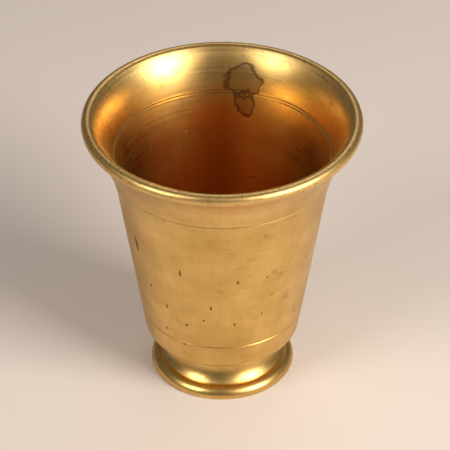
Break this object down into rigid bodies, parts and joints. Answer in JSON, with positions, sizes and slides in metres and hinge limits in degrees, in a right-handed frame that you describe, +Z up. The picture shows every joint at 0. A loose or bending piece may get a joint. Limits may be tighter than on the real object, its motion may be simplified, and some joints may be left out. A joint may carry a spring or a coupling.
{
  "type": "holy water cup",
  "caption": "Footed brass tumbler with a flared mouth, rolled lip, fine turned lines and a hollow turned foot, for holding holy water.",
  "frame": {"origin": "centre of the foot's rim, on the surface that the cup stands on", "axes": "+Z up along the cup's axis, towards the mouth; X and Y are free, because the cup is round"},
  "size_m": [0.076, 0.076, 0.083],
  "materials": {
    "cup_brass": "satin turned brass, tarnished",
    "foot_brass": "satin turned brass, darkened in the cove",
    "braze_filler": "dull filler metal"
  },
  "bodies": {
    "root": {"cup_shell": "cup_brass", "foot_ring": "foot_brass", "braze_seam": "braze_filler"}
  },
  "joints": []
}
